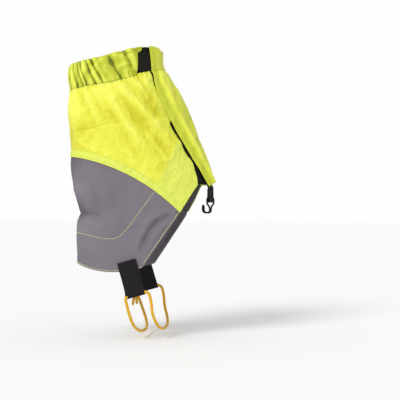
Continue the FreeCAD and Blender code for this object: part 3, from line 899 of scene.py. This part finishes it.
closure = {"frontY": -8, "cloth": 0.9, "tapeLift": 0.4, "tapeUnder": 0.85,
           "patchX": 13.1, "patchTop": 164.5, "patchFoot": 140.5, "patchBend": 145.4,
           "patchLow": -1.3, "patchHigh": 0.45}


def hookTapeLift(around, down):
    return np.minimum(shellLift(around, down), closure["tapeLift"]) - closure["tapeUnder"]


def hookPatchLift(around, down):  # its foot goes behind the shell's top edge
    bend = closure["patchBend"]
    rise = smooth(bend - 1, bend + 1, sideOf(around, down)[1])
    return closure["patchLow"] + (closure["patchHigh"] - closure["patchLow"]) * rise


def makeClosure():
    edge = aroundAtY(closure["frontY"])
    around, down = sheetGrid(150, 40, aroundEdge(tapeX), edge, downEdge(lambda x: cuffTopHeight(x) - 1),
                             downEdge(lambda x: lowHeight(x) + 0.8))
    thing = bodySheet("hookTape", around, down, hookTapeLift, closure["cloth"])
    keep(thing, "hookTape", "gaiter", "hook_tape")
    around, down = sheetGrid(40, 40, aroundEdge(level(closure["patchX"])), edge,
                             downEdge(level(closure["patchTop"])), downEdge(level(closure["patchFoot"])))
    thing = bodySheet("hookPatch", around, down, hookPatchLift, closure["cloth"])
    keep(thing, "hookTape", "gaiter", "hook_patch")


def makeFlap():
    foot = alongX("flapFoot")
    around, down = sheetGrid(230, 70, aroundAtY(flap["startY"]), flapSide, cuffTopDown, downEdge(foot))
    thing = bodySheet("frontFlap", around, down, flapLift, flap["cloth"])
    point, lifts = bodyPoint(around, down), flapLift(around, down)
    streaks = waves(point * (1, 1, 0.18), 7, 41)
    # painted shade and highlight follow the flap's folds and ridge; the streaks add random streaks of colour
    paint(thing, "height", (1.5 * (lifts - flap["lift"]) + 0.5 * streaks) * flapRaised(point))
    paint(thing, "doubled", 0.8 * smooth(flap["hem"] + 0.3, flap["hem"] - 0.3, flapInset(around, down)))
    keep(thing, "flapCloth", flapBlend, "front_flap")
    around, down = sheetGrid(200, 40, aroundAtY(flap["tapeY"]), lambda d: flapSide(d) - 0.03,
                             downEdge(lambda x: cuffTopHeight(x) - 3), downEdge(lambda x: foot(x) + 5))
    thing = bodySheet("loopTape", around, down, lambda a, d: flapLift(a, d) - flap["tapeUnder"],
                      flap["tapeCloth"])
    keep(thing, "loopTape", flapBlend, "loop_tape")


# tabs, cord and knot

tab = {"width": 19.2, "lean": 16.0, "topX": 3.2, "topZ": -45.5, "cloth": 0.85,
       "profile": ((3, 0.9), (8, 0.9), (14, 0.9), (20, 0.9), (25, 0.9), (29, 0.8), (31.4, 0.4), (32.75, 0.1)),
       "loop": (34.1, 2.2, 2.5), "outer": ((30.9, 3.1), (28.6, 2.3), (25, 1.95), (20, 1.85), (14, 1.85),
                                          (8, 1.85), (0, 1.85))}


def smoothLine(points, step):  # an even line of points through the given ones
    points = np.array(points, float)
    for _ in range(3):
        cut = np.empty((len(points) * 2, points.shape[1]))
        cut[0::2][:-1] = points[:-1] * 0.75 + points[1:] * 0.25
        cut[1::2][:-1] = points[:-1] * 0.25 + points[1:] * 0.75
        points = np.vstack([points[:1], cut[:-2], points[-1:]])
    length = np.concatenate([[0], np.cumsum(np.linalg.norm(np.diff(points, axis=0), axis=1))])
    even = np.linspace(0, length[-1], int(length[-1] / step) + 2)
    return np.stack([np.interp(even, length, points[:, i]) for i in range(points.shape[1])], -1)


def tabPoints(s, n, w, side):  # s down the tab, n outwards, w across it
    lean = math.radians(tab["lean"])
    x = tab["topX"] + s * math.sin(lean) + w * math.cos(lean)
    z = tab["topZ"] - s * math.cos(lean) + w * math.sin(lean)
    around, down = fromSide(x, z, side)
    return onBody(around, down, n)


def tabBlend(side):  # a point at the hem, where the tab is sewn, and one below it, where it hangs free
    y = -0.0445 * side
    return "gaiter", "stirrup", (0.0045, y, -0.047), (0.0075, y, -0.057)


def makeTabs():
    s0, n0, radius = tab["loop"]
    turn = np.radians(np.linspace(-120, 120, 17))
    loop = np.stack([s0 + radius * np.cos(turn), n0 + radius * np.sin(turn)], -1)
    line = smoothLine(np.vstack([tab["profile"], loop, tab["outer"]]), 0.6)
    w = np.linspace(-tab["width"] / 2, tab["width"] / 2, 25)[None, :]
    s, n = line[:, :1] + 0 * w, line[:, 1:] + 0 * w
    for side, name in ((1, "Outer"), (-1, "Inner")):
        points = tabPoints(s, n, w, side)
        outward = np.zeros_like(points)
        outward[..., 1] = 1.0 * side
        thing = gridObject("stirrupTab" + name, points, outward=outward)
        thicken(thing, tab["cloth"], 0.0)
        keep(thing, "webbing", tabBlend(side), "stirrup_tab_" + name.lower())


def frames(path):  # directions across a line, carried along it without twist
    way = np.gradient(path, axis=0)
    way = way / np.linalg.norm(way, axis=1, keepdims=True)
    first = np.cross(way[0], (0.3, 0.5, 0.81))
    first = first / np.linalg.norm(first)
    sides = [first]
    for here in way[1:]:
        side = sides[-1] - here * (sides[-1] @ here)
        sides.append(side / np.linalg.norm(side))
    sides = np.array(sides)
    return sides, np.cross(way, sides)


def tubeObject(name, path, radius, count=14):  # path and radius in metres
    one, two = frames(path)
    turn = np.linspace(0, 2 * np.pi, count, endpoint=False)
    around = np.cos(turn)[:, None] * one[:, None] + np.sin(turn)[:, None] * two[:, None]
    rings = path[:, None] + radius * around
    way = np.gradient(path, axis=0)
    way = way / np.linalg.norm(way, axis=1, keepdims=True)
    for place, sign in ((0, -1), (-1, 1)):  # two smaller rings round off each end
        for lift, scale in ((0.3, 0.87), (0.51, 0.5)):
            cap = path[place] + (rings[place] - path[place]) * scale + way[place] * sign * radius * lift
            rings = np.concatenate([cap[None], rings] if place == 0 else [rings, cap[None]])
    length = np.concatenate([[0], np.cumsum(np.linalg.norm(np.diff(rings.mean(1), axis=0), axis=1))])
    tips = np.array([rings[0].mean(0) - way[0] * radius * 0.1, rings[-1].mean(0) + way[-1] * radius * 0.1])
    total = len(rings)
    vertices = np.vstack([rings.reshape(-1, 3), tips])
    faces, uv = [], []
    size = radius * 2 * math.pi / count
    for i in range(total - 1):
        for j in range(count):
            k = (j + 1) % count
            faces.append((i * count + j, i * count + k, (i + 1) * count + k, (i + 1) * count + j))
            low, high = length[i], length[i + 1]
            uv += [(j * size, low), ((j + 1) * size, low), ((j + 1) * size, high), (j * size, high)]
    for j in range(count):
        k = (j + 1) % count
        faces.append((total * count, k, j))
        faces.append((total * count + 1, (total - 1) * count + j, (total - 1) * count + k))
        uv += [(j * size, 0)] * 3 + [(j * size, length[-1])] * 3
    return meshObject(name, vertices, faces, uv)


cordSize = {"diameter": 0.003, "length": 0.343}
cordRoute = (
    (-0.6, 46.3, -81.9), (12.4, 46.1, -78.2), (25.6, 46.2, -74.6), (28.6, 46.2, -85.6),
    (29.4, 45.4, -98.0), (33.6, 39.8, -110.0), (36.0, 22.0, -115.4), (36.6, 0.0, -116.2),
    (36.0, -22.0, -115.4), (33.6, -39.8, -110.0), (29.4, -45.4, -98.0), (28.6, -46.2, -85.6),
    (25.6, -46.2, -74.6), (12.8, -46.1, -78.3), (1.8, -46.2, -81.3), (3.8, -46.2, -88.6),
    (6.2, -45.9, -98.4), (9.8, -41.6, -110.6), (14.0, -25.0, -117.8), (15.6, 0.0, -118.8),
    (14.0, 25.0, -117.8), (9.8, 41.6, -110.6), (4.8, 45.9, -98.4), (0.8, 46.4, -87.6),
)
knot = {"center": (-1.8, 46.4, -83.6), "scale": 1.38, "radius": 1.42,
        "tails": (((-2.4, 46.6, -85.0), (-4.6, 47.6, -90.5), (-5.2, 47.4, -97.0)),
                  ((-0.6, 46.0, -85.0), (-1.4, 45.2, -91.0), (-0.4, 44.9, -95.5)))}


def splinePath(name, points):  # points read from a smooth curve through the route
    curve = bpy.data.curves.new(name, "CURVE")
    curve.dimensions = "3D"
    curve.resolution_u = 16
    spline = curve.splines.new("NURBS")
    spline.points.add(len(points) - 1)
    for place, point in zip(spline.points, points):
        place.co = (*(c * mm for c in point), 1)
    spline.order_u = 3
    spline.use_endpoint_u = True
    holder = bpy.data.objects.new(name, curve)
    bpy.context.scene.collection.objects.link(holder)
    mesh = bpy.data.meshes.new_from_object(holder)
    path = np.array([vertex.co[:] for vertex in mesh.vertices])
    bpy.data.objects.remove(holder)
    bpy.data.curves.remove(curve)
    bpy.data.meshes.remove(mesh)
    return path


def makeCord():
    path = splinePath("cordRoute", cordRoute)
    thing = tubeObject("stirrupCord", path, cordSize["diameter"] / 2)
    keep(thing, "cord", "stirrup", "stirrup_cord")
    t = np.linspace(0, 2 * np.pi, 90)
    ring = np.stack([np.sin(t) + 2 * np.sin(2 * t), -np.sin(3 * t), np.cos(t) - 2 * np.cos(2 * t)], -1)
    loop = (np.array(knot["center"]) + knot["scale"] * ring) * mm
    thing = tubeObject("cordKnot", loop, knot["radius"] * mm)
    tails = [tubeObject("tail", splinePath("tail", tail), knot["radius"] * mm) for tail in knot["tails"]]
    for other in bpy.context.selected_objects:
        other.select_set(False)
    for part in [thing] + tails:
        part.select_set(True)
    bpy.context.view_layer.objects.active = thing
    bpy.ops.object.join()
    keep(thing, "cord", "stirrup", "cord_knot")


# lace tab and hook

laceTab = {"hinge": (84.5, -13.0, 27.0), "across": (0.4226, 0.9063), "width": 10.0, "cloth": 0.75,
           "line": ((-3.4, 37), (-2.8, 35), (-2.2, 33), (-1.2, 31), (-0.1, 29), (0.42, 27), (0.42, 25),
                    (0.42, 21), (0.5, 18.6), (1.0, 17.2), (1.65, 16.1), (1.85, 15.0), (1.5, 13.85),
                    (0.6, 13.2), (-0.6, 13.2), (-1.5, 13.85), (-1.85, 15.0), (-1.65, 16.1), (-1.0, 17.2),
                    (-0.5, 18.6), (-0.42, 21), (-0.42, 24), (-0.42, 26.6))}  # outwards and up, hem to hem


def makeLaceTab():
    line = smoothLine(laceTab["line"], 0.4)
    w = np.linspace(-laceTab["width"] / 2, laceTab["width"] / 2, 15)[None, :]
    across = np.array([*laceTab["across"], 0])
    outward = np.array([laceTab["across"][1], -laceTab["across"][0], 0])
    hinge = np.array([*laceTab["hinge"][:2], 0])
    up = np.array([0, 0, 1])
    points = hinge + w[..., None] * across + line[:, None, :1] * outward + line[:, None, 1:] * up
    thing = gridObject("laceTab", points, outward=np.broadcast_to(outward, points.shape))
    thicken(thing, laceTab["cloth"], 0.0)
    x, y, z = (c * mm for c in laceTab["hinge"])
    keep(thing, "webbing", ("gaiter", "lace_strap", (x, y, z + 0.001), (x, y, z - 0.004)), "lace_tab")
    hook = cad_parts["lace_hook"]
    hook.data.materials.clear()
    hook.data.materials.append(finishes["wire"])


# stitches

stitch = {"pitch": 2.6, "length": 2.1, "radius": 0.3, "sides": 5, "above": 0.06,
          "slitInsets": (1.4, 4.2), "slitFoot": 34, "slitTop": 143,
          "flapInsets": (1.8, 6.4), "flapRows": (4.6, 1.6), "flapTop": 169, "flapFoot": 2, "flapUnder": -0.16,
          "hem": 1.4, "cuffAbove": 0.2, "tabLift": 2.35,
          "tabCross": ((2.2, -8), (2.2, 8), (16, 8), (16, -8), (2.2, -8), (16, 8))}


def evenLine(points, normals, step):
    length = np.concatenate([[0], np.cumsum(np.linalg.norm(np.diff(points, axis=0), axis=1))])
    even = np.arange(step * 0.5, length[-1], step)
    columns = np.concatenate([points, normals], axis=1).T
    read = np.stack([np.interp(even, length, column) for column in columns], -1)
    return read[:, :3], read[:, 3:]


def stitchMesh(name, rows):  # each row is (points, normals), in mm
    vertices, faces = [], []
    sides = stitch["sides"]
    turn = np.linspace(0, 2 * np.pi, sides, endpoint=False)
    shape = ((-0.5, 0.0, -0.8), (-0.36, 0.8, -0.1), (0.0, 1.0, 0.45), (0.36, 0.8, -0.1), (0.5, 0.0, -0.8))
    for points, normals in rows:
        middles, ups = evenLine(points, normals, stitch["pitch"])
        if len(middles) < 2:
            continue
        ways = np.gradient(middles, axis=0)
        for middle, up, way in zip(middles, ups, ways):
            up, way = up / np.linalg.norm(up), way / np.linalg.norm(way)
            side = np.cross(way, up)
            first = len(vertices)
            for along, wide, high in shape:
                center = middle + way * along * stitch["length"] + up * (high * stitch["radius"])
                if wide == 0:
                    vertices.append(center)
                    continue
                for angle in turn:
                    out = np.cos(angle) * side + np.sin(angle) * up
                    vertices.append(center + wide * stitch["radius"] * out)
            last = first + 1 + 3 * sides
            for j in range(sides):
                k = (j + 1) % sides
                faces.append((first, first + 1 + k, first + 1 + j))
                for ring in range(2):
                    a = first + 1 + ring * sides
                    faces.append((a + j, a + k, a + sides + k, a + sides + j))
                faces.append((last, last - sides + j, last - sides + k))
    thing = meshObject(name, np.array(vertices) * mm, faces, None)
    thing.data.validate()
    return thing


def rowAt(around, down, lift, above=stitch["above"]):
    lifts = lift(around, down) + above
    return onBody(around, down, lifts), bodyNormal(around, down)


def partRow(around, down, lift, foot, top, above=stitch["above"]):  # the row between two heights
    x, z = sideOf(around, down)
    kept = (z < top) & (z > foot(x))
    return rowAt(around[kept], down[kept], lift, above)


def sideRow(x, z, side, lift):
    around, down = fromSide(np.array(x, float), np.array(z, float), side)
    return rowAt(around, down, lift)


def fine(points, step=0.8):
    points = np.array(points, float)
    length = np.concatenate([[0], np.cumsum(np.linalg.norm(np.diff(points, axis=0), axis=1))])
    even = np.linspace(0, length[-1], int(length[-1] / step) + 2)
    return np.interp(even, length, points[:, 0]), np.interp(even, length, points[:, 1])


def offsetHeight(height, gap):  # a line that keeps its distance above an edge
    return downEdge(lambda x: height(x) + gap * np.sqrt(1 + (height(x + 0.5) - height(x - 0.5)) ** 2))


def arcRow(height, gap, start, end, side, lift):
    around = np.radians(np.linspace(start, end, 260))
    down = offsetHeight(height, gap)(around)
    return rowAt(around * side, down, lift)


def sewPanels():
    for side, name in ((1, "Outer"), (-1, "Inner")):
        seams = [arcRow(seamHeight, gap, 179, 62, side, shellLift) for gap in cloth["seamRows"]]
        corner = (73.0, 31.0) if side > 0 else (72.0, 30.0)
        diagonal = sideRow(*fine(((58.2, 7.2), corner)), side, shellLift)
        front = sideRow(*fine(((37.5, 34.5), (46, 54), (55, 66.5))), side, shellLift)
        keep(stitchMesh("shellStitches" + name, seams + [diagonal, front]), "limeThread", "gaiter")
        hem = arcRow(circleHeight("hemCircle", -1), stitch["hem"], 179, 93, side, guardLift)
        slope = sideRow(*fine(((20.5, -47.6), (56.0, 4.2))), side, guardLift)
        facing = arcRow(facingHeight, 0.0, 179, 68, side, guardLift)
        keep(stitchMesh("guardStitches" + name, [hem, slope, facing]), "paleThread", "gaiter")


def sewCuff():
    around = np.radians(np.linspace(62, 354, 700))
    row = rowAt(around, cuffBaseDown(around) + 0.018, shellLift, stitch["cuffAbove"])
    keep(stitchMesh("cuffStitches", [row]), "paleThread", "gaiter")


def flapRowFoot(x):  # the flap's rows end a little above its lower edge
    return alongX("flapFoot")(x) + stitch["flapFoot"]


def sewFront():
    down = np.linspace(0.72, 5.0, 400)
    foot, top = level(stitch["slitFoot"]), stitch["slitTop"]
    rows = [partRow(slitSide(down) + inset / cloth["frontRadius"], down, shellLift, foot, top)
            for inset in stitch["slitInsets"]]
    keep(stitchMesh("slitStitches", rows), "limeThread", "gaiter")
    top = stitch["flapTop"]
    rows = [partRow(flapSide(down) - inset / cloth["frontRadius"], down, flapLift, flapRowFoot, top)
            for inset in stitch["flapInsets"]]
    rows += [partRow(aroundAtY(y)(down), down, flapLift, flapRowFoot, top, stitch["flapUnder"])
             for y in stitch["flapRows"]]
    keep(stitchMesh("flapStitches", rows), "limeThread", flapBlend)


def sewTabs():
    s, w = fine(stitch["tabCross"])
    for side, name in ((1, "Outer"), (-1, "Inner")):
        points = tabPoints(s, np.full(len(s), stitch["tabLift"]), w, side)
        normals = np.tile((0.0, -1.0 * side, 0.0), (len(s), 1))
        keep(stitchMesh("tabStitches" + name, [(points, normals)]), "darkThread", tabBlend(side))


# stage

camera = {"azimuth": 6.0, "distance": 1.2, "frameWidth": 0.412, "sensor": 36.0,
          "target": (0.0725, 0.0, 0.01545)}
floorGap = 0.0048  # room for the stirrup to swing
lights = {"backdrop": 0.985, "around": 0.67, "key": {"from": (-0.42, -0.76, 0.66), "power": 1.6, "angle": 22}}


def makeCamera():
    data = bpy.data.cameras.new("camera")
    data.sensor_width = camera["sensor"]
    data.lens = camera["sensor"] * camera["distance"] / camera["frameWidth"]
    thing = bpy.data.objects.new("camera", data)
    bpy.context.scene.collection.objects.link(thing)
    azimuth = math.radians(camera["azimuth"])
    back = Vector((math.sin(azimuth), -math.cos(azimuth), 0))
    thing.location = Vector(camera["target"]) + back * camera["distance"]
    thing.rotation_euler = (-back).to_track_quat("-Z", "Y").to_euler()
    bpy.context.scene.camera = thing


def makeKey(look):
    data = bpy.data.lights.new("key", "SUN")
    data.energy, data.angle = look["power"], math.radians(look["angle"])
    thing = bpy.data.objects.new("key", data)
    bpy.context.scene.collection.objects.link(thing)
    thing.location = look["from"]
    thing.rotation_euler = (-Vector(look["from"])).to_track_quat("-Z", "Y").to_euler()


def makeWorld():  # a white backdrop that lights the object more softly than it looks
    world = bpy.data.worlds.new("world")
    world.use_nodes = True
    tree = world.node_tree
    seen = tree.nodes.new("ShaderNodeLightPath")
    strength = tree.nodes.new("ShaderNodeMath")
    strength.operation = "MULTIPLY_ADD"
    strength.inputs[1].default_value = lights["backdrop"] - lights["around"]
    strength.inputs[2].default_value = lights["around"]
    tree.links.new(seen.outputs["Is Camera Ray"], strength.inputs[0])
    tree.links.new(strength.outputs[0], tree.nodes["Background"].inputs["Strength"])
    tree.nodes["Background"].inputs["Color"].default_value = (1, 1, 1, 1)
    bpy.context.scene.world = world


def makeStage():
    bpy.ops.mesh.primitive_plane_add(size=12, location=(0, 0, cadBox[0][2] - floorGap))
    floor = bpy.context.object
    floor.name = "floor"
    cover = Shader("floorPaint", Roughness=0.9)
    cover.color((0.99, 0.99, 0.99, 1))
    floor.data.materials.append(cover.material)
    bpy.context.scene.view_settings.view_transform = "Standard"
    makeWorld()
    makeKey(lights["key"])


makeCamera()
makeCord()
print("cord made")
makePanels()
makeFacings()
print("panels made")
makeCuff()
makeClosure()
makeFlap()
print("cuff and flap made")
makeTabs()
makeLaceTab()
sewPanels()
sewCuff()
sewFront()
sewTabs()
print("tabs and stitches made")
makeStage()
